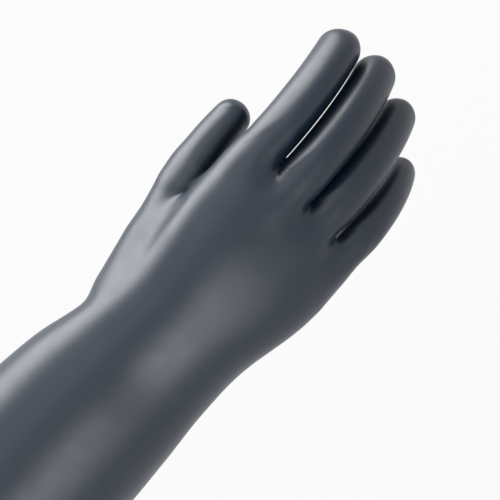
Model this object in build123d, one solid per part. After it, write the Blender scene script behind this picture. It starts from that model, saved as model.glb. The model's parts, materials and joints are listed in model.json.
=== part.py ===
from build123d import *
import math
import os

# Electrical insulating glove for a right hand, size 10, laid palm down on a table.
# The real glove is one seamless dipped rubber moulding with a rolled bead round the cuff and a
# bare colour-coded patch bonded to the back of the gauntlet. Its hollow moulding is divided here
# where it folds: at the wrist, at the root of each finger stall and at the middle of each stall.
# A fold is a short sleeve of its own between two stiffer stretches, and meets both face to face.
#
# Millimetres. +Y runs from the cuff to the fingertips, +Z is up out of the back of the hand, and
# the thumb is on the -X side. Everything is laid out from the middle of the cuff edge, and is
# moved at the end so that the origin is at the bottom centre of the whole glove.

# ---- wall and cuff ----
wall = 2.3                  # rubber thickness
cuff_radius = 58.0          # outside radius of the straight collar at the cuff
collar_length = 14.0        # straight, round part of the cuff
collar_step = 0.4           # how far the collar stands proud of the flare behind it
bead_diameter = 6.0         # rolled edge
bead_setback = 0.3          # bead clear of the collar's bore
bead_overhang = 1.5         # middle of the roll beyond the cuff edge
bead_ring_radius = cuff_radius - wall + bead_setback + bead_diameter / 2
axis_height = bead_ring_radius + bead_diameter / 2      # the bead just rests on the table
patch_length = 24.0         # bare patch on the gauntlet, along the arm
patch_width = 56.0          # and across it
patch_thickness = 0.8
patch_corner = 4.0          # radius of its corners
patch_distance = 16.0       # cuff edge to the near side of the patch

# ---- arm and hand ----
# Shape of the outside from the cuff to the webs, each row at its distance from the cuff edge:
# half width, half height, height of its middle above the table, offset of its middle towards the
# little finger, squareness (2 is an ellipse), depth by which its sides curve down, and degrees
# that it runs back towards the little finger.
wrist_distance = 143.0      # cuff edge to the narrowest part of the wrist
web_distance = 271.5        # cuff edge to the webs between the fingers, at the middle of the hand
web_slant = 7.8
cuff_half = cuff_radius - collar_step
shape_names = ("half_width", "half_height", "height", "offset", "squareness", "arch", "slant")
shape_rows = {
    0.0: (cuff_half, cuff_half, axis_height, 0.0, 2.0, 0.0, 0.0),
    70.0: (55.2, 48.0, 61.0, 0.0, 2.0, 0.0, 0.0),                   # forearm
    110.0: (51.8, 41.0, 60.5, -0.8, 2.0, 0.0, 0.0),
    wrist_distance: (46.7, 34.0, 60.0, 0.0, 2.0, 0.0, 0.0),         # wrist
    178.0: (45.4, 30.0, 60.0, 0.4, 2.3, 5.0, 2.0),                  # heel of the hand
    222.0: (50.9, 22.5, 62.0, 0.8, 2.5, 11.0, web_slant * 0.7),     # palm
    255.0: (52.8, 18.0, 60.5, 1.2, 2.5, 15.0, web_slant),           # knuckles
    web_distance: (52.7, 16.0, 59.5, 1.4, 2.5, 15.0, web_slant),    # webs
}
arch_crown = 0.18           # share of the arch by which the middle stands up
front_rounding = 10.0       # radius over which the front of the palm rounds off

# ---- folds, in degrees of bend from rest ----
wrist_fold_distance = 137.0     # cuff edge to the middle of the soft band that folds at the wrist
wrist_fold_half = 13.0          # half its length
root_bend = 60.0
middle_bend = 60.0
thumb_bend = 40.0
thumb_middle_bend = 45.0
fold_clearance = 0.8        # extra length of a fold past where its two ends would meet

# ---- stalls ----
# side: of the root from the middle of the hand; fan: degrees turned towards the little finger;
# slope: degrees below level at the web; curl: degrees more by the middle of the round tip;
# length: along the curve between those two; base and tip: outside radii there; middle: share of
# the length where the stall folds; margin, where given: length of stub before the root fold.
fingers = {
    "index": dict(side=-37.5, fan=0.2, slope=14.2, curl=34.8,
                  length=73.6, base=13.1, tip=11.7, middle=0.56),
    "middle": dict(side=-11.3, fan=0.6, slope=12.5, curl=44.8,
                   length=86.7, base=12.5, tip=11.2, middle=0.56),
    "ring": dict(side=14.3, fan=1.3, slope=12.2, curl=46.4,
                 length=82.0, base=12.2, tip=11.0, middle=0.56),
    "little": dict(side=38.9, fan=2.5, slope=17.8, curl=49.2,
                   length=65.2, base=11.3, tip=9.8, middle=0.56),
}
stub_depth = 16.0           # how far a stall's tube runs back into the palm

# The thumb's root is placed by its side offset, distance from the cuff edge and height. lean:
# degrees from straight down towards the palm, of the way in which it curls.
thumb = dict(side=-47.0, distance=219.0, height=29.5, fan=-14.3, slope=10.5, curl=13.6, lean=70.0,
             length=51.5, base=14.3, tip=11.8, middle=0.64, margin=5.0)
# Round slices up the ball of the thumb, from the heel of the hand: side, distance, height, radius
ball_rows = (
    (-29.3, 162.0, 46.0, 20.0),
    (-36.2, 193.0, 37.0, 19.8),
)

heel_setback = 0.2          # round heel of the thumb's ball, clear of the wrist fold
section_points = 12         # points round each section of the arm and hand
overshoot = 1.0             # how far a cutting shape runs past what it cuts


def shape_at(distance):
    """The row of the shape at any distance, eased between the rows on either side."""
    marks = sorted(shape_rows)
    slopes = []
    for i, mark in enumerate(marks):
        before, after = marks[max(i - 1, 0)], marks[min(i + 1, len(marks) - 1)]
        slopes.append([(q - p) / (after - before) for p, q in zip(shape_rows[before], shape_rows[after])])
    i = max(k for k in range(len(marks) - 1) if marks[k] <= max(distance, 0))
    gap = marks[i + 1] - marks[i]
    t = (distance - marks[i]) / gap
    row = []
    for a, b, c, d in zip(shape_rows[marks[i]], shape_rows[marks[i + 1]], slopes[i], slopes[i + 1]):
        row.append(a * (1 + 2 * t) * (1 - t) ** 2 + b * t * t * (3 - 2 * t)
                   + c * gap * t * (1 - t) ** 2 - d * gap * t * t * (1 - t))
    return dict(zip(shape_names, row))


def section(distance, inset=0.0, narrowing=0.0, shape_distance=None):
    """A section across the arm or hand, inset from the outside."""
    row = shape_at(distance if shape_distance is None else shape_distance)
    half_width = row["half_width"] - inset - narrowing
    half_height = row["half_height"] - inset - narrowing
    turn = math.radians(row["slant"])
    across = Vector(math.cos(turn), -math.sin(turn), 0)
    along = Vector(-math.sin(turn), -math.cos(turn), 0)
    plane = Plane(origin=(row["offset"], distance, row["height"]), x_dir=across, z_dir=along)
    outline = []
    for i in range(section_points):
        angle = 2 * math.pi * i / section_points
        c, s = math.cos(angle), math.sin(angle)
        x = half_width * math.copysign(abs(c) ** (2 / row["squareness"]), c)
        z = half_height * math.copysign(abs(s) ** (2 / row["squareness"]), s)
        outline.append((x, z + row["arch"] * (arch_crown - (x / half_width) ** 2)))
    return plane * make_face(Spline(*outline, periodic=True))


def sweep_between(start, end, inset=0.0, steps=4):
    """The arm or hand as a solid from one distance to another."""
    return loft([section(start + (end - start) * i / steps, inset) for i in range(steps + 1)])


def front(inset=0.0):
    """The rounded front of the palm, between the finger stalls."""
    start = web_distance - inset - front_rounding
    rows = []
    for share in (0, 0.5, 0.87):
        narrowing = front_rounding * (1 - math.sqrt(1 - share**2))
        rows.append(section(start + front_rounding * share, inset, narrowing, start))
    return loft(rows)


def half_ball(radius):
    """The upper half of a ball, standing on its flat side."""
    return Sphere(radius, arc_size1=0, arc_size2=90, align=(Align.CENTER, Align.CENTER, Align.MIN))


class Stall:
    """The curved, tapering centre line of a finger or the thumb, from its web to its round tip."""

    def __init__(self, origin, fan, slope, curl, length, base, tip, middle,
                 lean=0.0, margin=3.0, **placing):
        yaw, pitch, roll = math.radians(fan), math.radians(slope), math.radians(lean)
        self.origin = Vector(*origin)
        level = Vector(math.sin(yaw), math.cos(yaw), 0)
        self.ahead = level * math.cos(pitch) - Vector(0, 0, math.sin(pitch))
        down = level * -math.sin(pitch) - Vector(0, 0, math.cos(pitch))
        aside = self.ahead.cross(down)
        self.inward = down * math.cos(roll) - aside * math.sin(roll)
        self.hinge = self.ahead.cross(self.inward)
        self.bend = math.radians(curl) / length
        self.length, self.base, self.tip, self.middle, self.margin = length, base, tip, middle, margin

    def point(self, s):
        turned = self.bend * s
        return (self.origin + self.ahead * (math.sin(turned) / self.bend)
                + self.inward * ((1 - math.cos(turned)) / self.bend))

    def heading(self, s):
        return self.ahead * math.cos(self.bend * s) + self.inward * math.sin(self.bend * s)

    def radius(self, s):
        return self.base - (self.base - self.tip) * max(s / self.length, 0) ** 2

    def disc(self, s, inset=0.0):
        plane = Plane(origin=self.point(s), x_dir=self.hinge, z_dir=self.heading(s))
        return plane * Circle(self.radius(s) - inset)

    def tube(self, start, end, inset=0.0):
        return loft([self.disc(start, inset), self.disc((start + end) / 2, inset), self.disc(end, inset)])

    def dome(self, inset=0.0):
        plane = Plane(origin=self.point(self.length), x_dir=self.hinge, z_dir=self.heading(self.length))
        return plane * half_ball(self.tip - inset)

    def sleeve(self, start, end):
        """A stretch of the stall's wall, open at both ends."""
        return self.tube(start, end) - self.tube(start - overshoot, end + overshoot, wall)

    def cap(self, start):
        """The last stretch of the stall, closed by its round tip."""
        outside = self.tube(start, self.length) + self.dome()
        inside = self.tube(start - overshoot, self.length, wall) + self.dome(wall)
        return outside - inside

    def fold_half(self, s, bend):
        """Half the length of a fold that bends that far before its two ends meet."""
        radius = self.radius(s)
        first = radius * math.tan(math.radians(bend) / 2)
        return radius * math.tan(math.radians(bend) / 2 + self.bend * first) + fold_clearance


def finger_stall(size):
    """A finger whose tip just rests on the table, rooted in the slanted row of webs."""
    first, last = math.radians(size["slope"]), math.radians(size["slope"] + size["curl"])
    drop = size["length"] * (math.cos(first) - math.cos(last)) / (last - first)
    root = web_distance - size["side"] * math.tan(math.radians(web_slant))
    return Stall((size["side"], root, size["tip"] + drop), **size)


def thumb_stall():
    return Stall((thumb["side"], thumb["distance"], thumb["height"]), **thumb)


def thumb_ball(inset=0.0):
    """The ball of the thumb, from its round heel to the web of the thumb."""
    places = [Vector(*row[:3]) for row in ball_rows] + [stalls["thumb"].point(0)]
    discs = []
    for i, row in enumerate(ball_rows):
        plane = Plane(origin=places[i], x_dir=stalls["thumb"].hinge, z_dir=places[i + 1] - places[i])
        discs.append(plane * Circle(row[3] - inset))
    behind = Plane(origin=places[0], x_dir=stalls["thumb"].hinge, z_dir=places[0] - places[1])
    heel = behind * half_ball(ball_rows[0][3] - inset)
    cut = palm_start + heel_setback
    beyond = Pos(0, cut / 2, axis_height) * Box(2 * cuff_radius, cut, 2 * cuff_radius)
    return loft([*discs, stalls["thumb"].disc(0, inset)]) + (heel - beyond)


def hand(inset=0.0):
    """The hand as one solid, from the wrist fold up to the root folds of the stalls."""
    body = sweep_between(palm_start, web_distance - inset - front_rounding, inset) + front(inset)
    for name in fingers:
        body += stalls[name].tube(-stub_depth, stalls[name].margin, inset)
    return body + thumb_ball(inset) + stalls["thumb"].tube(0, stalls["thumb"].margin, inset)


def gauntlet():
    collar = Pos(0, collar_length / 2, axis_height) * Rot(90, 0, 0)
    outside = sweep_between(0, gauntlet_end) + collar * Cylinder(cuff_radius, collar_length)
    inside = sweep_between(0, gauntlet_end, wall) + collar * Cylinder(cuff_radius - wall, collar_length)
    return outside - inside


def wrist_fold():
    """The soft band between the gauntlet and the hand."""
    outside = sweep_between(gauntlet_end, palm_start, steps=2)
    return outside - sweep_between(gauntlet_end, palm_start, wall, steps=2)


def cuff_bead():
    """The rolled edge, wrapped over the end of the collar."""
    ring = Plane(origin=(0, -bead_overhang, axis_height), z_dir=(0, 1, 0))
    collar = Pos(0, collar_length / 2, axis_height) * Rot(90, 0, 0)
    return ring * Torus(bead_ring_radius, bead_diameter / 2) - collar * Cylinder(cuff_radius, collar_length)


def label_patch():
    """The bare patch, bent to the top of the gauntlet and bonded face to face."""
    middle = patch_distance + patch_length / 2
    outline = RectangleRounded(patch_width, patch_length, patch_corner)
    cutter = extrude(Pos(0, middle, axis_height) * outline, 2 * cuff_radius)
    return (sweep_between(0, gauntlet_end, -patch_thickness) - sweep_between(0, gauntlet_end)) & cutter


# ---- places worked out from the sizes above ----
gauntlet_end = wrist_fold_distance - wrist_fold_half
palm_start = wrist_fold_distance + wrist_fold_half
stalls = {name: finger_stall(size) for name, size in fingers.items()}
stalls["thumb"] = thumb_stall()
bends = {name: (root_bend, middle_bend) for name in fingers} | {"thumb": (thumb_bend, thumb_middle_bend)}

nodes = {
    "gauntlet": gauntlet(),
    "cuff_bead": cuff_bead(),
    "label_patch": label_patch(),
    "wrist_fold": wrist_fold(),
    "palm_shell": hand() - hand(wall),
}
wrist_height = shape_at(wrist_fold_distance)["height"]
hinges = {"wrist": (Vector(0, wrist_fold_distance, wrist_height), Vector(-1, 0, 0))}
for name, stall in stalls.items():
    root_half = stall.fold_half(stall.margin, bends[name][0])
    middle = stall.middle * stall.length
    middle_half = stall.fold_half(middle, bends[name][1])
    marks = [stall.margin, stall.margin + 2 * root_half, middle - middle_half, middle + middle_half]
    nodes[name + "_root_fold"] = stall.sleeve(marks[0], marks[1])
    nodes[name + "_stall"] = stall.sleeve(marks[1], marks[2])
    nodes[name + "_middle_fold"] = stall.sleeve(marks[2], marks[3])
    nodes[name + "_tip"] = stall.cap(marks[3])
    hinges[name + "_root"] = (stall.point(stall.margin + root_half), stall.hinge)
    hinges[name + "_middle"] = (stall.point(middle), stall.hinge)

# ---- the origin at the bottom centre, then one file for each node ----
boxes = [node.bounding_box() for node in nodes.values()]
low = [min(tuple(box.min)[axis] for box in boxes) for axis in range(3)]
high = [max(tuple(box.max)[axis] for box in boxes) for axis in range(3)]
shift = Vector(-(low[0] + high[0]) / 2, -(low[1] + high[1]) / 2, -low[2])
os.makedirs("parts", exist_ok=True)
for name, node in nodes.items():
    export_step(Pos(shift) * node, f"parts/{name}.step")
    print("node", name, round(node.volume))
for name, (place, axis) in hinges.items():
    print("hinge", name, *[round(v, 3) for v in place + shift], *[round(v, 5) for v in axis])
print("shift", *[round(v, 3) for v in shift])
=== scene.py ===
import json
import math

import bmesh
import bpy
import numpy as np
from mathutils import Matrix, Vector


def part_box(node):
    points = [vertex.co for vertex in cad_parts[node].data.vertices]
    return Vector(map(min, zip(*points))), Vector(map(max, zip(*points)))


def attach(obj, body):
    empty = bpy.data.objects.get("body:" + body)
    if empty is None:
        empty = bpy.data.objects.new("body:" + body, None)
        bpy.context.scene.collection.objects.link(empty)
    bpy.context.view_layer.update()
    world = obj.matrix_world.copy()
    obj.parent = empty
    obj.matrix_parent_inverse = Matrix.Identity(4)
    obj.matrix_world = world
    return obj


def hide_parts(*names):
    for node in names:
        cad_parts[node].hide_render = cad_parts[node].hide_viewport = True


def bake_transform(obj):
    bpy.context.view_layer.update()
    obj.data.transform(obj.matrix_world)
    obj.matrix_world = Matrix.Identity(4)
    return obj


# Electrical insulating glove for a right hand, dipped in one piece from black rubber.
# Shapes are worked out in millimetres from the place on the table under the middle of the cuff
# edge: +Y to the fingertips, +Z up out of the back of the hand, the thumb on the -X side.
# toFrame() brings them to metres and to the frame.

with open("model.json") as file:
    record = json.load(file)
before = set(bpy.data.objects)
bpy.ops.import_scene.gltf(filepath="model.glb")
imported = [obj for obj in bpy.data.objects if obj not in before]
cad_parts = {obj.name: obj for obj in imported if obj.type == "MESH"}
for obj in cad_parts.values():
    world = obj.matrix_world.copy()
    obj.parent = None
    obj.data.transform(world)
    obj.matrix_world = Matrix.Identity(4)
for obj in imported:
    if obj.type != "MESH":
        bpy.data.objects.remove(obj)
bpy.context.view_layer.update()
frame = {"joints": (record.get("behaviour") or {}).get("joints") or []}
joints = {joint["name"]: joint for joint in frame["joints"]}
mm = 0.001

beadLow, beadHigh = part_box("cuff_bead")
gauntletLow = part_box("gauntlet")[0]
cuffMiddle = np.array([(beadLow.x + beadHigh.x) / 2, gauntletLow.y, 0.0])


def toFrame(points):
    return np.asarray(points, float) * mm + cuffMiddle


def toCuff(points):
    return (np.asarray(points, float) - cuffMiddle) / mm


def ease(x, low, high):      # 0 below low, 1 above high, smooth between
    t = np.clip((x - low) / (high - low), 0, 1)
    return t * t * (3 - 2 * t)


# The former: the smooth porcelain hand that the glove is dipped on, as a distance field.

arm = dict(
    names=("width", "above", "below", "height", "offset", "square", "arch", "slant"),
    # by mm from the cuff edge: half width, half height above and below the middle, height of the
    # middle, its place across, power of the oval, arch across the back, degrees of slant
    rows={
        0: (58.0, 58.0, 58.0, 62.0, 0.0, 2.0, 0.0, 0.0),
        14: (57.7, 57.4, 57.4, 62.0, 0.0, 2.0, 0.0, 0.0),
        70: (55.2, 48.0, 48.0, 61.0, 0.0, 2.0, 0.0, 0.0),
        110: (51.8, 41.0, 41.0, 60.5, -0.8, 2.0, 0.0, 0.0),
        143: (46.7, 34.0, 34.0, 60.0, 0.0, 2.0, 0.0, 0.0),
        178: (45.4, 30.0, 30.0, 60.0, 0.4, 2.3, 5.0, 2.0),
        222: (50.9, 22.0, 22.5, 62.0, 0.8, 2.9, 10.0, 5.46),
        255: (52.8, 14.8, 18.0, 60.5, 1.2, 2.8, 14.0, 7.8),
        271.5: (52.7, 10.5, 15.0, 59.5, 1.4, 2.5, 15.0, 7.8),
    },
    crown=0.18,         # share of the arch by which the middle stands up
    rounding=16.0,      # edge all round the front of the palm
    webDistance=271.5,
    frontSetback=1.6,   # the fillets at the roots bring the webs forward again
    furrowDepth=1.6,    # hollows that run back from the webs on the back of the hand
    furrowWidth=7.0,
    furrowLength=34.0,
    furrowPast=4.0,     # deepest this far past the webs
    furrowPower=1.5,
    furrowSides=(-0.2, 0.6),        # share of the height at which they start and are full
)
webRow = dict(zip(arm["names"], arm["rows"][arm["webDistance"]]))

# side, length, base and tip radius, root and margin in mm; fan, slope, curl and lean in degrees.
# The root reaches back into the hand, thinner by the share called sinking. The root's fold starts
# at the margin, the other one lies round the middle, a share of the length. Each ridge is mm high,
# degrees towards the thumb side, degrees wide, mm along where it starts.
stalls = {
    "thumb": dict(origin=(-47.0, 219.0, 29.5), fan=-14.3, slope=10.5, curl=13.6, lean=70.0,
                  length=51.5, base=14.3, tip=11.8, middle=0.64, margin=5.0,
                  root=16.0, sinking=0.0, ridges=((2.6, -70, 34, -24),)),
    "index": dict(side=-37.5, fan=0.3, slope=14.2, curl=34.5, length=73.6, base=13.1, tip=12.5,
                  ridges=((3.0, -3, 36, -30),)),
    "middle": dict(side=-12.2, fan=0.6, slope=12.5, curl=45.0, length=86.7, base=13.4, tip=12.3,
                   ridges=((1.6, 22, 34, -6),)),
    "ring": dict(side=13.8, fan=1.3, slope=12.2, curl=46.4, length=82.0, base=12.8, tip=11.3,
                 ridges=((1.2, 18, 34, -6),)),
    "little": dict(side=38.9, fan=2.5, slope=17.8, curl=49.2, length=65.2, base=11.3, tip=9.8,
                   ridges=((1.0, 14, 34, -6),)),
}
fingerNames = ["index", "middle", "ring", "little"]

stallForm = dict(
    ridgeRise=24.0,     # mm in which a ridge reaches its height
    tipEase=6.0, tipLoss=0.5,       # and it loses half of it within 6 mm of the round tip
    foldSpare=0.8,      # mm that a fold has more than its bend needs
    ballFillet=4.0,     # mm, where the thumb grows out of its ball
)

thumbBall = [       # mm: x, y, z and radius, from the wrist on; the thumb's own origin ends it
    (-29.3, 162.0, 46.0, 20.0),
    (-36.2, 193.0, 37.0, 19.8),
]

marks = np.array(sorted(arm["rows"]), float)
rowTable = np.array([arm["rows"][mark] for mark in marks])
before = [max(i - 1, 0) for i in range(len(marks))]
after = [min(i + 1, len(marks) - 1) for i in range(len(marks))]
slopeTable = (rowTable[after] - rowTable[before]) / (marks[after] - marks[before])[:, None]


def armRow(distance):       # the arm's shape at any distances, eased between the rows
    d = np.atleast_1d(np.asarray(distance, float))
    i = np.clip(np.searchsorted(marks, d, side="right") - 1, 0, len(marks) - 2)
    low = marks[i]
    gap = marks[i + 1] - low
    t = np.clip((d - low) / gap, 0, 1)[:, None]
    gap = gap[:, None]
    values = (rowTable[i] * (1 + 2 * t) * (1 - t) ** 2 + rowTable[i + 1] * t * t * (3 - 2 * t)
              + slopeTable[i] * gap * t * (1 - t) ** 2 - slopeTable[i + 1] * gap * t * t * (1 - t))
    return dict(zip(arm["names"], values.T))


class Stall:        # curved centre line of one finger stall, from its web to its round tip
    def __init__(self, name, fan, slope, curl, length, base, tip,
                 side=None, origin=None, lean=0.0, middle=0.56, margin=3.0,
                 root=34.0, sinking=0.5, ridges=()):
        yaw, pitch, roll = math.radians(fan), math.radians(slope), math.radians(lean)
        self.name, self.length, self.base, self.tip = name, length, base, tip
        self.middle, self.margin, self.root, self.sinking = middle * length, margin, root, sinking
        self.ridges = ridges
        if origin is None:      # a finger's tip rests on the table
            last = pitch + math.radians(curl)
            drop = length * (math.cos(pitch) - math.cos(last)) / (last - pitch)
            web = arm["webDistance"] - side * math.tan(math.radians(webRow["slant"]))
            origin = (side, web, tip + drop)
        self.origin = np.array(origin, float)
        level = np.array([math.sin(yaw), math.cos(yaw), 0.0])
        up = np.array([0.0, 0.0, 1.0])
        self.ahead = level * math.cos(pitch) - up * math.sin(pitch)
        down = -level * math.sin(pitch) - up * math.cos(pitch)
        aside = np.cross(self.ahead, down)
        self.inward = down * math.cos(roll) - aside * math.sin(roll)
        self.hinge = np.cross(self.ahead, self.inward)
        self.bend = math.radians(curl) / length

    def point(self, s):     # s is always mm along the centre line from the web
        turned = self.bend * s
        return (self.origin + self.ahead * math.sin(turned) / self.bend
                + self.inward * (1 - math.cos(turned)) / self.bend)

    def heading(self, s):
        return self.ahead * math.cos(self.bend * s) + self.inward * math.sin(self.bend * s)

    def radius(self, s):        # behind the web it narrows away into the hand
        ahead = np.clip(s / self.length, 0, 1) ** 2
        behind = np.clip(-s / self.root, 0, 1) ** 2
        return self.base - (self.base - self.tip) * ahead - self.base * self.sinking * behind

    def foldHalf(self, s, degrees):     # half the length of a fold that bends that far
        radius = self.radius(s)
        first = radius * math.tan(math.radians(degrees) / 2)
        turn = math.radians(degrees) / 2 + self.bend * first
        return radius * math.tan(turn) + stallForm["foldSpare"]

    def along(self, p):     # how far along the centre line each point is, and how far from it
        v = p - self.origin
        a, b, h = v @ self.ahead, v @ self.inward, v @ self.hinge
        turnRadius = 1 / self.bend
        s = np.arctan2(a, turnRadius - b) * turnRadius
        held = np.clip(s, -self.root, self.length)
        turned = self.bend * held
        dx = a - np.sin(turned) * turnRadius
        dy = b - (1 - np.cos(turned)) * turnRadius
        gap = np.sqrt(dx * dx + dy * dy + h * h)
        dorsal = dx * np.sin(turned) - dy * np.cos(turned)
        sure = np.hypot(h, dorsal) / np.maximum(gap, 1e-6)      # fades at the round tip
        raised = 0.0
        rise, near, loss = (stallForm[key] for key in ("ridgeRise", "tipEase", "tipLoss"))
        for height, turn, width, start in self.ridges:
            around = (np.degrees(np.arctan2(h, dorsal)) - turn + 180) % 360 - 180
            ridge = height * np.exp(-(around / width) ** 2)
            raised = raised + ridge * ease(s, start, start + rise)
        raised = raised * sure ** 2 * (1 - loss * ease(s, self.length - near, self.length + near))
        return s, gap - self.radius(held) - raised


hand = {name: Stall(name, **size) for name, size in stalls.items()}


def melt(a, b, softness):       # two distances joined with a fillet
    h = np.clip(softness - np.abs(a - b), 0, None) / softness
    return np.minimum(a, b) - h * h * softness / 4


def coneDistance(p, start, end, startRadius, endRadius):
    axis = end - start
    t = np.clip((p - start) @ axis / (axis @ axis), 0, 1)
    gap = p - start - t[:, None] * axis
    return np.sqrt((gap ** 2).sum(1)) - (startRadius + (endRadius - startRadius) * t)


def armDistance(p, leastSize=0.05, leastSlope=0.3):     # these two keep the middle finite
    d = p[:, 1].copy()
    for again in range(3):      # the rows stand aslant, so the place along them is closed in on
        row = armRow(d)
        d = p[:, 1] + (p[:, 0] - row["offset"]) * np.tan(np.radians(row["slant"]))
    row = armRow(d)
    width, power = row["width"], row["square"]
    across = (p[:, 0] - row["offset"]) / np.cos(np.radians(row["slant"]))
    u = across / width
    rise = p[:, 2] - row["height"] - row["arch"] * (arm["crown"] - u * u)
    tall = np.where(rise > 0, row["above"], row["below"])
    v = rise / tall
    size = np.maximum((np.abs(u) ** power + np.abs(v) ** power) ** (1 / power), leastSize)
    byRise = np.abs(v) ** (power - 1) * np.sign(v) / tall * size ** (1 - power)
    byAcross = (np.abs(u) ** (power - 1) * np.sign(u) / width * size ** (1 - power)
                + byRise * 2 * row["arch"] * u / width)
    steep = np.maximum(np.hypot(byRise, byAcross), leastSlope / width)
    side = (size - 1) / steep
    # furrows between the stalls on the back of the hand
    furrow = np.zeros(len(p))
    for first, second in zip(fingerNames, fingerNames[1:]):
        a, b = hand[first], hand[second]
        middle = (a.origin[0] + a.base + b.origin[0] - b.base) / 2
        furrow += np.exp(-((p[:, 0] - middle) / arm["furrowWidth"]) ** 2)
    web = arm["webDistance"]
    reach = ease(d, web - arm["furrowLength"], web + arm["furrowPast"]) ** arm["furrowPower"]
    side = side + arm["furrowDepth"] * furrow * reach * ease(v, *arm["furrowSides"])
    q1 = side + arm["rounding"]
    q2 = d - (web - arm["frontSetback"] - arm["rounding"])
    rounded = np.hypot(np.maximum(q1, 0), np.maximum(q2, 0))
    return np.minimum(np.maximum(q1, q2), 0) + rounded - arm["rounding"]


fillets = {     # mm along a stall, mm more at its root, from and to mm along where that fades
    "thumb": (2.0, 7.0, -14, 6),
    "webs": (0.2, 3.0, 0, 12),
    "fingers": (2.5, 5.5, -4, 12),
}


def filletSoftness(name, s):
    least, more, low, high = fillets[name]
    return least + more * (1 - ease(s, low, high))


def formerDistance(p, withThumb=True):      # mm outside the former, less than 0 inside it
    body = armDistance(p)
    thumb = hand["thumb"]
    balls = [np.array(row[:3]) for row in thumbBall] + [thumb.origin]
    radii = [row[3] for row in thumbBall] + [thumb.base]
    ball = np.minimum(coneDistance(p, balls[0], balls[1], radii[0], radii[1]),
                      coneDistance(p, balls[1], balls[2], radii[1], radii[2]))
    s, thumbSide = thumb.along(p)
    thumbSide = melt(thumbSide, ball, stallForm["ballFillet"])
    if withThumb:
        body = melt(body, thumbSide, filletSoftness("thumb", s))
    nearest, fingers = hand[fingerNames[0]].along(p)
    for name in fingerNames[1:]:
        s, side = hand[name].along(p)
        nearest = np.where(side < fingers, s, nearest)
        fingers = melt(fingers, side, filletSoftness("webs", s))
    return melt(body, fingers, filletSoftness("fingers", nearest))


def formerNormal(p, step=0.15):
    offsets = np.array([(1, -1, -1), (-1, -1, 1), (-1, 1, -1), (1, 1, 1)], float)
    slope = sum(corner * formerDistance(p + corner * step)[:, None] for corner in offsets)
    return slope / np.maximum(np.linalg.norm(slope, axis=1), 1e-9)[:, None]


def settle(p, times=4, share=1.0):      # points drawn on to the former
    for again in range(times):
        p = p - share * formerDistance(p)[:, None] * formerNormal(p)
    return p


def reachFormer(start, direction, withThumb, far=95.0, near=0.02, share=0.7, times=120):
    t = far     # from far out back to the former
    for again in range(times):
        gap = float(formerDistance((start + direction * t)[None, :], withThumb)[0])
        if abs(gap) < near:
            break
        t -= gap * share
    return start + direction * t


# The skin: a coarse cage drawn on to the former, then subdivided.

skin = dict(
    wall=2.3,
    # where the stalls begin on the back of the hand, on the palm and at its two edges
    frontRing=262.0, palmFront=263.0, edgeFront=265.0,
    webSpread=0.97,         # share of a stall's radius at which its web points lie
    rings=[252, 241, 231, 221, 208, 195, 182, 169, 157, 147, 137, 126,
           110, 92, 72, 52, 34, 20, 8, 0],
    evenBehind=150, knucklesAhead=250,      # columns go from even spacing to that of the knuckles
    thumbRings=[221, 208, 195],
    splitRing=110,          # the gauntlet's own piece ends here
    firstTimes=6, firstShare=0.8,           # drawn on to the former in six soft steps
    levels=3,
)

topColumns = 3 * len(fingerNames)       # three for each finger


def columnShare(column, distance):      # place of a column across the hand, -1 to 1
    even = -math.cos(math.pi * (column + 1) / (topColumns + 1))
    stall = hand[fingerNames[column // 3]]
    place = stall.origin[0] + (column % 3 - 1) * math.sqrt(0.5) * stall.base
    knuckle = (place - webRow["offset"]) / webRow["width"]
    share = float(ease(np.array([distance]), skin["evenBehind"], skin["knucklesAhead"])[0])
    return even + (knuckle - even) * share


def ringPoint(column, row, distance):       # row 0 is the palm, 1 the two edges, 2 the back
    shape = {key: float(value[0]) for key, value in armRow(distance).items()}
    turn = math.radians(shape["slant"])
    if row == 1:
        u = -1.0 if column == 0 else 1.0
        v = 0.0
    else:
        u = columnShare(column, distance)
        tall = shape["above"] if row == 2 else -shape["below"]
        v = tall * (1 - abs(u) ** shape["square"]) ** (1 / shape["square"])
    across = np.array([math.cos(turn), -math.sin(turn), 0.0])
    centre = np.array([shape["offset"], distance, shape["height"]])
    rise = v + shape["arch"] * (arm["crown"] - u * u)
    direction = across * u * shape["width"] + np.array([0, 0, rise])
    direction /= np.linalg.norm(direction)
    thumbBehind = distance <= skin["thumbRings"][0]     # the thumb counts from its first ring back
    return reachFormer(centre, direction, thumbBehind)


# The cage starts as the grid of points where the stalls leave the hand. Each point remembers its
# column and row, the part it belongs to, its ring, and for the thumb its place in the patch.
cage = bmesh.new()
bmesh.ops.create_grid(cage, x_segments=topColumns - 1, y_segments=2, size=1)
keyLayer = cage.verts.layers.int.new("key")
partLayer = cage.verts.layers.int.new("part")
levelLayer = cage.verts.layers.int.new("level")
thumbKey = cage.verts.layers.int.new("thumbKey")
partNames = ["arm", *stalls]


def keyOf(vert):        # column and row
    return divmod(vert[keyLayer], 3)


for vert in cage.verts:
    column = round((vert.co.x + 1) / 2 * (topColumns - 1))
    row = round(vert.co.y + 1)
    vert[keyLayer] = column * 3 + row
print("cage grid", len(cage.verts), "points")

boundary = [edge for edge in cage.edges if edge.is_boundary]
for vert in cage.verts:
    column, row = keyOf(vert)
    if row != 1:
        place = ringPoint(column, row, skin["frontRing" if row == 2 else "palmFront"])
    elif column in (0, topColumns - 1):
        place = ringPoint(column, row, skin["edgeFront"])
    else:
        stall = hand[fingerNames[column // 3]]
        side = (column % 3 - 1) * skin["webSpread"] * stall.base
        place = stall.point(1.0) - stall.hinge * side
    vert.co = Vector(place)

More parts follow.
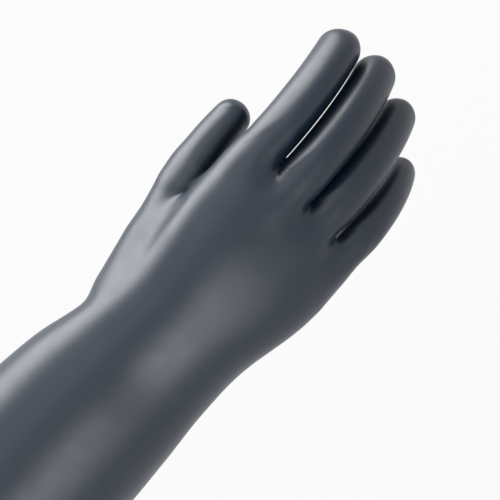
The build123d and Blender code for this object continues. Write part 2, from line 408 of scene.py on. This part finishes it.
ringVerts = {}      # the thumb patch's points, by column and ring
for number, distance in enumerate(skin["rings"]):
    made = bmesh.ops.extrude_edge_only(cage, edges=boundary)["geom"]
    fresh = [item for item in made if isinstance(item, bmesh.types.BMVert)]
    boundary = [item for item in made if isinstance(item, bmesh.types.BMEdge)
                and item.verts[0] in fresh and item.verts[1] in fresh]
    for vert in fresh:
        column, row = keyOf(vert)
        vert.co = Vector(ringPoint(column, row, distance))
        vert[levelLayer] = number + 1
        if distance in skin["thumbRings"] and row == 0 and column < 3:
            ring = skin["thumbRings"].index(distance)
            ringVerts[(column, ring)] = vert
            vert[thumbKey] = column * 3 + ring + 1
print("arm rings", len(skin["rings"]))

# The thumb's root: a patch of the low thumb-side columns between three rings.
thumb = hand["thumb"]
thumbPatch = dict(
    palmAcross=0.8, palmHeight=60.0,        # mm, the middle of the palm that it grows out of
    angles={(0, 0): 45, (1, 0): 0, (2, 0): -45, (0, 1): 90, (2, 1): -90,
            (0, 2): 135, (1, 2): 180, (2, 2): 225},     # degrees round it, by column and ring
    places=(-1.0, -11.0, -22.0),            # mm along it, by ring
)
palmMiddle = np.array([thumbPatch["palmAcross"], thumb.origin[1], thumbPatch["palmHeight"]])


def thumbPoint(s, angle):
    heading = thumb.heading(s)
    towards = palmMiddle - thumb.origin
    towards = towards - heading * (towards @ heading)
    towards /= np.linalg.norm(towards)
    dorsal = np.cross(towards, heading)
    if dorsal[2] < 0:
        dorsal = -dorsal
    turn = math.radians(angle)
    return (thumb.point(s) + (towards * math.cos(turn) + dorsal * math.sin(turn))
            * thumb.radius(s))


for (column, ring), vert in ringVerts.items():
    if (column, ring) in thumbPatch["angles"]:
        angle = thumbPatch["angles"][(column, ring)]
        vert.co = Vector(thumbPoint(thumbPatch["places"][ring], angle))


stallCage = dict(
    beforeFold=0.5, pastFold=4.5,       # mm, first two rings before and past the root fold's start
    foldEnd=3.0,                # mm, one before its end
    tipRings=5,                 # even rings from the last seam to the end of the centre line
    tipAngles=(0.6, 1.1),       # radians, rings on the round tip
)
tipLevel = 5        # the ring at which the tip's own piece begins


def extrudeStall(faces, name, places, placeVert):       # a ring of new faces at each place
    part = partNames.index(name)
    for level, s in enumerate(places):
        made = bmesh.ops.extrude_face_region(cage, geom=faces)["geom"]
        bmesh.ops.delete(cage, geom=faces, context="FACES")
        faces = [item for item in made if isinstance(item, bmesh.types.BMFace)]
        fresh = [item for item in made if isinstance(item, bmesh.types.BMVert)]
        for vert in fresh:
            vert[partLayer] = part
            vert[levelLayer] = level + 1
            vert.co = Vector(placeVert(vert, s))
    return faces


def tipShape(stall, s):     # place and size of a ring, rounding off past the end of the line
    if s <= stall.length:
        return stall.point(s), float(stall.radius(s)), 0.0
    angle = s - stall.length
    return stall.point(stall.length), stall.tip * math.cos(angle), stall.tip * math.sin(angle)


def tipMiddle(stall, s, beyond):        # how far past the line the middle of a ring's cap lies
    return stall.tip if s > stall.length + stallCage["tipAngles"][0] else beyond


def stallRings(stall):
    folds = foldMarks(stall)
    seams = [stall.margin - stallCage["beforeFold"], stall.margin + stallCage["pastFold"],
             (folds[0] + folds[1]) / 2, folds[1] - stallCage["foldEnd"],
             (folds[1] + folds[2]) / 2]
    rest = np.linspace(seams[-1], stall.length, stallCage["tipRings"] + 1)[1:]
    return [*seams, *rest, *(stall.length + angle for angle in stallCage["tipAngles"])]


def foldMarks(stall):       # mm along the centre line where its two folds start and end
    root, middle = joints[stall.name + "_root_bend"], joints[stall.name + "_middle_bend"]
    rootMiddle = float(stall.along(toCuff([root["pos_m"]]))[0][0])
    middleHalf = stall.foldHalf(stall.middle, max(abs(value) for value in middle["range_deg"]))
    return [stall.margin, 2 * rootMiddle - stall.margin, stall.middle - middleHalf,
            stall.middle + middleHalf]


for number, name in enumerate(fingerNames):
    stall = hand[name]
    columns = {3 * number, 3 * number + 1, 3 * number + 2}
    faces = [face for face in cage.faces
             if all(v[levelLayer] == 0 and v[partLayer] == 0 and keyOf(v)[0] in columns
                    for v in face.verts)]

    def placeFinger(vert, s):
        column, row = keyOf(vert)
        i, j = column - 3 * number - 1, row - 1
        centre, radius, beyond = tipShape(stall, s)
        heading = stall.heading(min(s, stall.length))
        up = np.cross(heading, stall.hinge)
        if up[2] < 0:
            up = -up
        if i == 0 and j == 0:
            return centre + heading * tipMiddle(stall, s, beyond)
        out = -stall.hinge * i + up * j
        out /= np.linalg.norm(out)
        return centre + heading * beyond + out * radius

    extrudeStall(faces, name, stallRings(stall), placeFinger)
    print(name, "folds", [round(m, 1) for m in foldMarks(stall)])

thumbLevels = [skin["rings"].index(d) + 1 for d in skin["thumbRings"]]
faces = [face for face in cage.faces
         if all(v[partLayer] == 0 and v[levelLayer] in thumbLevels and keyOf(v)[1] == 0
                and keyOf(v)[0] < 3 for v in face.verts)]
print("thumb root faces", len(faces))


def placeThumb(vert, s):
    column, row = divmod(vert[thumbKey] - 1, 3)
    centre, radius, beyond = tipShape(thumb, s)
    held = min(s, thumb.length)
    heading = thumb.heading(held)
    if (column, row) == (1, 1):
        return centre + heading * tipMiddle(thumb, s, beyond)
    around = thumbPoint(held, thumbPatch["angles"][(column, row)]) - thumb.point(held)
    around /= np.linalg.norm(around)
    return centre + heading * beyond + around * radius


extrudeStall(faces, "thumb", stallRings(thumb), placeThumb)
print("thumb folds", [round(m, 1) for m in foldMarks(thumb)])

loose = [vert for vert in cage.verts if not vert.link_faces]
bmesh.ops.delete(cage, geom=loose, context="VERTS")
print("cage", len(cage.verts), "points", len(cage.faces), "faces", len(loose), "loose")

# Each face is marked with the number of the piece that it goes to.
splitLevel = skin["rings"].index(skin["splitRing"]) + 1
pieceNumbers = {"gauntlet": 0, "hand": 1}
for name in stalls:
    pieceNumbers[name + "Stall"] = len(pieceNumbers)
    pieceNumbers[name + "Tip"] = len(pieceNumbers)
for face in cage.faces:
    part = max(vert[partLayer] for vert in face.verts)
    if part == 0:
        low = min(vert[levelLayer] for vert in face.verts)
        face.material_index = pieceNumbers["gauntlet" if low >= splitLevel else "hand"]
        continue
    levels = [vert[levelLayer] if vert[partLayer] == part else 0 for vert in face.verts]
    low = min(levels)
    if low < 1:
        face.material_index = pieceNumbers["hand"]
    elif low < tipLevel:
        face.material_index = pieceNumbers[partNames[part] + "Stall"]
    else:
        face.material_index = pieceNumbers[partNames[part] + "Tip"]
bmesh.ops.recalc_face_normals(cage, faces=cage.faces)


def meshPoints(mesh):
    flat = np.empty(len(mesh.vertices) * 3)
    mesh.vertices.foreach_get("co", flat)
    return flat.reshape(-1, 3)


def setPoints(mesh, points):
    mesh.vertices.foreach_set("co", np.asarray(points, np.float32).ravel())
    mesh.update()


skinMesh = bpy.data.meshes.new("skinCage")
cage.to_mesh(skinMesh)
setPoints(skinMesh, settle(meshPoints(skinMesh), skin["firstTimes"], skin["firstShare"]))
for level in range(skin["levels"]):
    holder = bpy.data.objects.new("skinHolder", skinMesh)       # one level, then settled again
    bpy.context.scene.collection.objects.link(holder)
    finer = holder.modifiers.new("finer", "SUBSURF")
    finer.levels = finer.render_levels = 1
    shown = holder.evaluated_get(bpy.context.evaluated_depsgraph_get())
    finerMesh = bpy.data.meshes.new_from_object(shown)
    bpy.data.objects.remove(holder)
    skinMesh = finerMesh
    points = settle(meshPoints(skinMesh))
    print("level", level + 1, len(points), "points, furthest off",
          round(float(np.abs(formerDistance(points)).max()), 4), "mm")
    setPoints(skinMesh, points)

rootMelt = dict(        # where wet latex runs smooth, mm from the cuff or along the thumb
    fingersFrom=(230, 248), fingersTo=(264, 281),
    backReach=22, backFacing=(0.3, 0.8),    # further along the backs of the stalls
    thumbFrom=(-28, -16), thumbTo=(-2, 11), thumbOff=(6, 20),
    turns=64, factor=0.5,
)


def rootShare(p, normals):      # 1 in the webs and at the roots of the stalls, 0 away from them
    reach = rootMelt["backReach"] * ease(normals[:, 2], *rootMelt["backFacing"])
    low, high = rootMelt["fingersTo"]
    fingerRoots = (ease(p[:, 1], *rootMelt["fingersFrom"])
                   * (1 - ease(p[:, 1], low + reach, high + reach)))
    s, side = thumb.along(p)
    thumbRoot = (ease(s, *rootMelt["thumbFrom"]) * (1 - ease(s, *rootMelt["thumbTo"]))
                 * (1 - ease(side, *rootMelt["thumbOff"])))
    return np.maximum(fingerRoots, thumbRoot)


skinPoints = meshPoints(skinMesh)
skinNormals = formerNormal(skinPoints)
share = rootShare(skinPoints, skinNormals)
melted = bmesh.new()
melted.from_mesh(skinMesh)
melted.verts.ensure_lookup_table()
for turn in range(rootMelt["turns"]):       # points with a larger share are smoothed more often
    level = (turn + 0.5) / rootMelt["turns"]
    chosen = [melted.verts[i] for i in np.flatnonzero(share > level)]
    bmesh.ops.smooth_vert(melted, verts=chosen, factor=rootMelt["factor"],
                          use_axis_x=True, use_axis_y=True, use_axis_z=True)
melted.normal_update()
meltedNormals = np.array([vert.normal[:] for vert in melted.verts])
melted.to_mesh(skinMesh)
melted.free()
print("normals that agree", round(float((skinNormals * meltedNormals).sum(1).mean()), 3))
skinPoints = meshPoints(skinMesh)
skinNormals = skinNormals * (1 - share)[:, None] + meltedNormals * share[:, None]
skinNormals /= np.linalg.norm(skinNormals, axis=1)[:, None]
places = skinMesh.attributes.new("place", "INT", "POINT")       # each point's row in skinNormals
places.data.foreach_set("value", np.arange(len(skinPoints), dtype=np.int32))


def addObject(name, mesh, materials):
    for material in materials:
        mesh.materials.append(material)
    thing = bpy.data.objects.new(name, mesh)
    bpy.context.scene.collection.objects.link(thing)
    return thing


outsideFace, insideFace, rimFace = 0, 1, 2


def wallPiece(name, number):        # one piece of the skin as a closed wall of rubber
    piece = bmesh.new()
    piece.from_mesh(skinMesh)
    others = [face for face in piece.faces if face.material_index != number]
    bmesh.ops.delete(piece, geom=others, context="FACES")
    place = piece.verts.layers.int["place"]
    outside = piece.faces[:]
    everything = outside + piece.edges[:] + piece.verts[:]
    made = bmesh.ops.extrude_face_region(piece, geom=everything, use_keep_orig=True)["geom"]
    inside = {item for item in made if isinstance(item, bmesh.types.BMFace)}
    for item in made:
        if isinstance(item, bmesh.types.BMVert):
            item.co -= Vector(skinNormals[item[place]]) * skin["wall"]
    for face in piece.faces:
        face.material_index = rimFace
        face.smooth = True
    for face in outside:
        face.material_index = outsideFace
    for face in inside:
        face.material_index = insideFace
    bmesh.ops.recalc_face_normals(piece, faces=piece.faces)
    mesh = bpy.data.meshes.new(name)
    piece.to_mesh(mesh)
    piece.free()
    setWallNormals(mesh)
    setPoints(mesh, toFrame(meshPoints(mesh)))
    return addObject(name, mesh, [outerRubber, innerRubber])


def setWallNormals(mesh):       # shading from the former, so that it runs on from piece to piece
    corners = np.empty(len(mesh.loops), np.int32)
    mesh.loops.foreach_get("vertex_index", corners)
    place = np.empty(len(mesh.vertices), np.int32)
    mesh.attributes["place"].data.foreach_get("value", place)
    kinds = np.empty(len(mesh.polygons), np.int32)
    mesh.polygons.foreach_get("material_index", kinds)
    flat = np.empty(len(mesh.polygons) * 3)
    mesh.polygons.foreach_get("normal", flat)
    cornerKinds = np.repeat(kinds, 4)[:, None]      # every face has four corners
    cornerFlats = np.repeat(flat.reshape(-1, 3), 4, axis=0)
    smooth = skinNormals[place[corners]]
    normals = np.where(cornerKinds == outsideFace, smooth, -smooth)
    normals = np.where(cornerKinds == rimFace, cornerFlats, normals)
    mesh.polygons.foreach_set("material_index", np.minimum(kinds, insideFace))
    mesh.normals_split_custom_set(normals.tolist())
    mesh.attributes.remove(mesh.attributes["place"])


# Materials.


def linear(hexColour):      # "#rrggbb" as it looks, to linear values
    parts = [int(hexColour[i:i + 2], 16) / 255 for i in (1, 3, 5)]
    return [p / 12.92 if p <= 0.04045 else ((p + 0.055) / 1.055) ** 2.4 for p in parts] + [1.0]


def addNode(tree, kind, settings=None, links=None):     # a setting is an input or a property
    node = tree.nodes.new(kind)
    for key, value in (settings or {}).items():
        if key in node.inputs.keys():
            node.inputs[key].default_value = value
        else:
            setattr(node, key, value)
    for key, source in (links or {}).items():
        tree.links.new(source, node.inputs[key])
    return node


def newMaterial(name):
    material = bpy.data.materials.new(name)
    material.use_nodes = True
    tree = material.node_tree
    return material, tree, tree.nodes["Principled BSDF"]


rubberIor = 1.52
outerValues = dict(
    dark="#0e1a28",
    light="#152536",
    cloudSize=38.0,         # mm, faint clouds in the colour
    waveSize=9.0, waveStrength=0.12, waveHeight=0.25,       # mm, slow waves of the dipped coat
    grainSize=0.55, grainStrength=0.15, grainHeight=0.02,   # mm, drawn coarser than the real grain
    roughLow=0.34, roughHigh=0.44,
)


# Natural rubber dipped on a smooth former, then washed and lightly siliconed: a deep blue-black
# with a soft satin shine.
def makeOuterRubber():
    values = outerValues
    material, tree, shader = newMaterial("dippedNaturalRubberSatin")
    place = addNode(tree, "ShaderNodeTexCoord").outputs["Object"]
    cloud = addNode(tree, "ShaderNodeTexNoise",
                    {"Scale": 1 / (values["cloudSize"] * mm), "Detail": 3.0}, {"Vector": place})
    wave = addNode(tree, "ShaderNodeTexNoise",
                   {"Scale": 1 / (values["waveSize"] * mm), "Detail": 2.0}, {"Vector": place})
    grain = addNode(tree, "ShaderNodeTexNoise",
                    {"Scale": 1 / (values["grainSize"] * mm), "Detail": 2.0}, {"Vector": place})
    colour = addNode(tree, "ShaderNodeMix", {"data_type": "RGBA"}, {0: cloud.outputs["Fac"]})
    colour.inputs[6].default_value = linear(values["dark"])
    colour.inputs[7].default_value = linear(values["light"])
    rough = addNode(tree, "ShaderNodeMapRange",
                    {"To Min": values["roughLow"], "To Max": values["roughHigh"]},
                    {"Value": wave.outputs["Fac"]})
    waveBump = addNode(tree, "ShaderNodeBump",
                       {"Strength": values["waveStrength"], "Distance": values["waveHeight"] * mm},
                       {"Height": wave.outputs["Fac"]})
    grainBump = addNode(tree, "ShaderNodeBump",
                        {"Strength": values["grainStrength"],
                         "Distance": values["grainHeight"] * mm},
                        {"Height": grain.outputs["Fac"], "Normal": waveBump.outputs["Normal"]})
    tree.links.new(colour.outputs[2], shader.inputs["Base Color"])
    tree.links.new(rough.outputs["Result"], shader.inputs["Roughness"])
    tree.links.new(grainBump.outputs["Normal"], shader.inputs["Normal"])
    shader.inputs["IOR"].default_value = rubberIor
    return material


innerValues = dict(
    bare="#23272b", dusted="#3a3e42",
    dustSize=14.0,          # mm
    roughness=0.72,
)


# The inside of the same rubber, dusted with powder, which leaves it dull and a little grey.
def makeInnerRubber():
    values = innerValues
    material, tree, shader = newMaterial("powderedRubberInside")
    place = addNode(tree, "ShaderNodeTexCoord").outputs["Object"]
    dust = addNode(tree, "ShaderNodeTexNoise",
                   {"Scale": 1 / (values["dustSize"] * mm), "Detail": 6.0}, {"Vector": place})
    colour = addNode(tree, "ShaderNodeMix", {"data_type": "RGBA"}, {0: dust.outputs["Fac"]})
    colour.inputs[6].default_value = linear(values["bare"])
    colour.inputs[7].default_value = linear(values["dusted"])
    tree.links.new(colour.outputs[2], shader.inputs["Base Color"])
    shader.inputs["Roughness"].default_value = values["roughness"]
    shader.inputs["IOR"].default_value = rubberIor
    return material


beadMaterialValues = dict(
    colour="#1b1f24",
    waveSize=6.0, waveStrength=0.3, waveHeight=0.3,     # mm
    roughLow=0.28, roughHigh=0.4,
)


# The cuff rolled up on itself while the rubber is still wet: smoother, so a little glossier.
def makeBeadRubber():
    values = beadMaterialValues
    material, tree, shader = newMaterial("rolledRubberEdge")
    place = addNode(tree, "ShaderNodeTexCoord").outputs["Object"]
    wave = addNode(tree, "ShaderNodeTexNoise",
                   {"Scale": 1 / (values["waveSize"] * mm), "Detail": 2.0}, {"Vector": place})
    rough = addNode(tree, "ShaderNodeMapRange",
                    {"To Min": values["roughLow"], "To Max": values["roughHigh"]},
                    {"Value": wave.outputs["Fac"]})
    bump = addNode(tree, "ShaderNodeBump",
                   {"Strength": values["waveStrength"], "Distance": values["waveHeight"] * mm},
                   {"Height": wave.outputs["Fac"]})
    tree.links.new(rough.outputs["Result"], shader.inputs["Roughness"])
    tree.links.new(bump.outputs["Normal"], shader.inputs["Normal"])
    shader.inputs["Base Color"].default_value = linear(values["colour"])
    shader.inputs["IOR"].default_value = rubberIor
    return material


patchMaterialValues = dict(
    dark="#b09a3a", light="#bda846",
    cloudSize=7.0,          # mm
    grainSize=0.4, grainStrength=0.25, grainHeight=0.05,
    roughness=0.62, ior=1.5,
)


# Coloured rubber sheet, vulcanised on and left blank: matte, with a fine pressed grain.
def makePatchRubber():
    values = patchMaterialValues
    material, tree, shader = newMaterial("bondedColourPatch")
    place = addNode(tree, "ShaderNodeTexCoord").outputs["Object"]
    cloud = addNode(tree, "ShaderNodeTexNoise",
                    {"Scale": 1 / (values["cloudSize"] * mm), "Detail": 4.0}, {"Vector": place})
    grain = addNode(tree, "ShaderNodeTexNoise",
                    {"Scale": 1 / (values["grainSize"] * mm), "Detail": 2.0}, {"Vector": place})
    colour = addNode(tree, "ShaderNodeMix", {"data_type": "RGBA"}, {0: cloud.outputs["Fac"]})
    colour.inputs[6].default_value = linear(values["dark"])
    colour.inputs[7].default_value = linear(values["light"])
    bump = addNode(tree, "ShaderNodeBump",
                   {"Strength": values["grainStrength"], "Distance": values["grainHeight"] * mm},
                   {"Height": grain.outputs["Fac"]})
    tree.links.new(colour.outputs[2], shader.inputs["Base Color"])
    tree.links.new(bump.outputs["Normal"], shader.inputs["Normal"])
    shader.inputs["Roughness"].default_value = values["roughness"]
    shader.inputs["IOR"].default_value = values["ior"]
    return material


floorValues = dict(
    colour="#fafafa", roughness=0.9,
    white=0.99, share=0.92,         # glow that evens it out, and how much of what is seen is glow
    size=1.0, middle=(-0.2, -0.1), height=-0.9,     # metres, half its side and where it lies
)


def backgroundRays(tree):       # 1 for what is seen straight, mirrored or through glass
    path = addNode(tree, "ShaderNodeLightPath")
    seen = path.outputs["Is Camera Ray"]
    for ray in ("Is Glossy Ray", "Is Transmission Ray"):
        seen = addNode(tree, "ShaderNodeMath", {"operation": "MAXIMUM"},
                       {0: seen, 1: path.outputs[ray]}).outputs["Value"]
    return seen


# Matte white paper, seen evenly white.
def makeFloorPaper():
    values = floorValues
    material, tree, shader = newMaterial("mattePaperSweep")
    shader.inputs["Base Color"].default_value = linear(values["colour"])
    shader.inputs["Roughness"].default_value = values["roughness"]
    share = addNode(tree, "ShaderNodeMath", {"operation": "MULTIPLY"}, {0: backgroundRays(tree)})
    share.inputs[1].default_value = values["share"]
    white = addNode(tree, "ShaderNodeEmission", {"Strength": values["white"]})
    mixed = addNode(tree, "ShaderNodeMixShader", {},
                    {0: share.outputs[0], 1: shader.outputs["BSDF"], 2: white.outputs["Emission"]})
    tree.links.new(mixed.outputs[0], tree.nodes["Material Output"].inputs["Surface"])
    return material


outerRubber, innerRubber = makeOuterRubber(), makeInnerRubber()

pieces = {name: wallPiece("glove" + name[0].upper() + name[1:], number)
          for name, number in pieceNumbers.items()}
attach(pieces["gauntlet"], "gauntlet")
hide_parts("gauntlet")
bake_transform(pieces["hand"])
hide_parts("wrist_fold", "palm_shell")
for name, stall in hand.items():
    folds = toFrame([stall.point(mark) for mark in foldMarks(stall)]).tolist()
    rootPiece, tipPiece = pieces[name + "Stall"], pieces[name + "Tip"]
    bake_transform(rootPiece)
    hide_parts(name + "_root_fold", name + "_stall")
    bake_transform(tipPiece)
    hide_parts(name + "_middle_fold", name + "_tip")
print("skin pieces", {name: len(piece.data.vertices) for name, piece in pieces.items()})

bead = dict(
    ringRadius=58.8,        # middle of the roll, mm from the axis of the cuff
    outward=3.2,            # half its thickness away from the axis
    along=3.0,              # and half along it
    setback=-1.4,           # from the cuff's edge towards the fingers
    axisHeight=62.0,
    roundPoints=20, ringSteps=144,
    weld=0.001,
)


def makeBead(values):       # rolled edge of the cuff
    ring = bmesh.new()
    made = bmesh.ops.create_circle(ring, segments=values["roundPoints"], radius=1.0)
    for vert in made["verts"]:
        vert.co = Vector((values["ringRadius"] + vert.co.x * values["outward"],
                          values["setback"] + vert.co.y * values["along"], values["axisHeight"]))
    centre = Vector((0, 0, values["axisHeight"]))
    bmesh.ops.spin(ring, geom=ring.edges[:], cent=centre, axis=(0, 1, 0), angle=2 * math.pi,
                   steps=values["ringSteps"], use_merge=True)
    bmesh.ops.remove_doubles(ring, verts=ring.verts, dist=values["weld"])
    bmesh.ops.recalc_face_normals(ring, faces=ring.faces)
    for face in ring.faces:
        face.smooth = True
    mesh = bpy.data.meshes.new("cuffBead")
    ring.to_mesh(mesh)
    ring.free()
    setPoints(mesh, toFrame(meshPoints(mesh)))
    return addObject("cuffBead", mesh, [makeBeadRubber()])


beadPiece = makeBead(bead)
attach(beadPiece, "gauntlet")
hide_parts("cuff_bead")

patch = dict(
    near=16.0, length=24.0, width=56.0, corner=4.0,     # mm, as the solid
    thickness=0.8,
    sunk=0.25,              # into the gauntlet, so that no gap shows under it
    columns=56, rows=24,
    soften=0.3, softSteps=2,
)


def makePatch(values):      # bare patch bonded on the back of the gauntlet
    sheet = bmesh.new()
    bmesh.ops.create_grid(sheet, x_segments=values["columns"], y_segments=values["rows"], size=1)
    halfLength, halfWidth, corner = values["length"] / 2, values["width"] / 2, values["corner"]
    for vert in sheet.verts:
        along = math.sin(vert.co.y * math.pi / 2) * halfLength
        past = max(abs(along) - (halfLength - corner), 0)
        half = halfWidth - corner + math.sqrt(corner ** 2 - past ** 2)
        across = vert.co.x * half
        distance = values["near"] + halfLength + along
        row = armRow(distance)
        share = math.sqrt(1 - (across / row["width"][0]) ** 2)
        height = row["height"][0] + row["above"][0] * share
        vert.co = Vector((across, distance, height - values["sunk"]))
    mesh = bpy.data.meshes.new("labelPatch")
    sheet.to_mesh(mesh)
    sheet.free()
    setPoints(mesh, toFrame(meshPoints(mesh)))
    thing = addObject("labelPatch", mesh, [makePatchRubber()])
    wall = thing.modifiers.new("wall", "SOLIDIFY")
    wall.thickness = (values["thickness"] + values["sunk"]) * mm
    wall.offset = 1.0
    rim = thing.modifiers.new("rim", "BEVEL")
    rim.width = values["soften"] * mm
    rim.segments = values["softSteps"]
    rim.limit_method = "ANGLE"
    for polygon in mesh.polygons:
        polygon.use_smooth = True
    return thing


patchPiece = makePatch(patch)
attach(patchPiece, "gauntlet")
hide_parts("label_patch")
print("bead and patch made")

# The floor, the camera and the lights.


def makeFloor():
    sheet = bmesh.new()
    bmesh.ops.create_grid(sheet, x_segments=1, y_segments=1, size=floorValues["size"])
    middle = Vector((*floorValues["middle"], floorValues["height"]))
    bmesh.ops.translate(sheet, verts=sheet.verts, vec=middle)
    mesh = bpy.data.meshes.new("floor")
    sheet.to_mesh(mesh)
    sheet.free()
    floor = addObject("floor", mesh, [makeFloorPaper()])


makeFloor()

cameraPlace = dict(
    target=(0.0, 211.0, 60.0),      # mm from the middle of the cuff
    turn=17.02, pitch=9.48, roll=-46.26,        # degrees about Y, then X, then Z
    distance=1400.0,
    aside=11.4, up=14.6,            # mm from the target to what it aims at
    lens=181.2, sensor=36.0,
    near=0.1, far=20.0,             # metres that it sees
)


def makeCamera(values):
    turn, pitch, roll = (math.radians(values[key]) for key in ("turn", "pitch", "roll"))
    rotation = (Matrix.Rotation(roll, 3, "Z") @ Matrix.Rotation(pitch, 3, "X")
                @ Matrix.Rotation(turn, 3, "Y")).transposed()
    right, up, back = rotation.col[0], rotation.col[1], rotation.col[2]
    target = Vector(toFrame(values["target"]))
    place = target + back * values["distance"] * mm
    aim = target + (right * values["aside"] + up * values["up"]) * mm
    away = (place - aim).normalized()
    right = up.cross(away).normalized()
    up = away.cross(right)
    data = bpy.data.cameras.new("camera")
    data.lens = values["lens"]
    data.sensor_width = values["sensor"]
    data.clip_start, data.clip_end = values["near"], values["far"]
    camera = bpy.data.objects.new("camera", data)
    camera.matrix_world = Matrix((right, up, away)).transposed().to_4x4()
    camera.location = place
    bpy.context.scene.collection.objects.link(camera)
    bpy.context.scene.camera = camera


makeCamera(cameraPlace)

lightAim = (0.0, 0.02, 0.06)        # metres
softboxes = {       # degrees round from +X to +Y, degrees up, metres away, wide and high, radiance
    "thumbSide": dict(around=172, up=-19, away=1.2, width=1.45, height=0.9, radiance=8.3),
    "overhead": dict(around=-40, up=70, away=1.6, width=0.75, height=1.1, radiance=5.2),
    "littleSide": dict(around=8, up=58, away=1.6, width=0.7, height=0.6, radiance=1.4),
    "fill": dict(around=170, up=42, away=1.5, width=1.2, height=0.9, radiance=1.0),
}
studioWorld = dict(
    light=0.1,          # on the glove
    white=0.975,        # as background
)


def makeSoftbox(name, values):
    around, up = math.radians(values["around"]), math.radians(values["up"])
    direction = Vector((math.cos(up) * math.cos(around), math.cos(up) * math.sin(around),
                        math.sin(up)))
    light = bpy.data.lights.new(name, "AREA")
    light.shape = "RECTANGLE"
    light.size, light.size_y = values["width"], values["height"]
    light.energy = values["radiance"] * math.pi * values["width"] * values["height"]
    lamp = bpy.data.objects.new(name, light)
    lamp.matrix_world = direction.to_track_quat("Z", "Y").to_matrix().to_4x4()
    lamp.location = Vector(lightAim) + direction * values["away"]
    lamp.visible_camera = False
    bpy.context.scene.collection.objects.link(lamp)


for name, values in softboxes.items():
    makeSoftbox(name, values)
print("camera and", len(softboxes), "softboxes placed")

world = bpy.data.worlds.new("studio")
bpy.context.scene.world = world
world.use_nodes = True
background = world.node_tree.nodes["Background"]
background.inputs["Color"].default_value = (1, 1, 1, 1)
strength = addNode(world.node_tree, "ShaderNodeMapRange",
                   {"To Min": studioWorld["light"], "To Max": studioWorld["white"]},
                   {"Value": backgroundRays(world.node_tree)})
world.node_tree.links.new(strength.outputs["Result"], background.inputs["Strength"])
bpy.context.scene.view_settings.view_transform = "Standard"
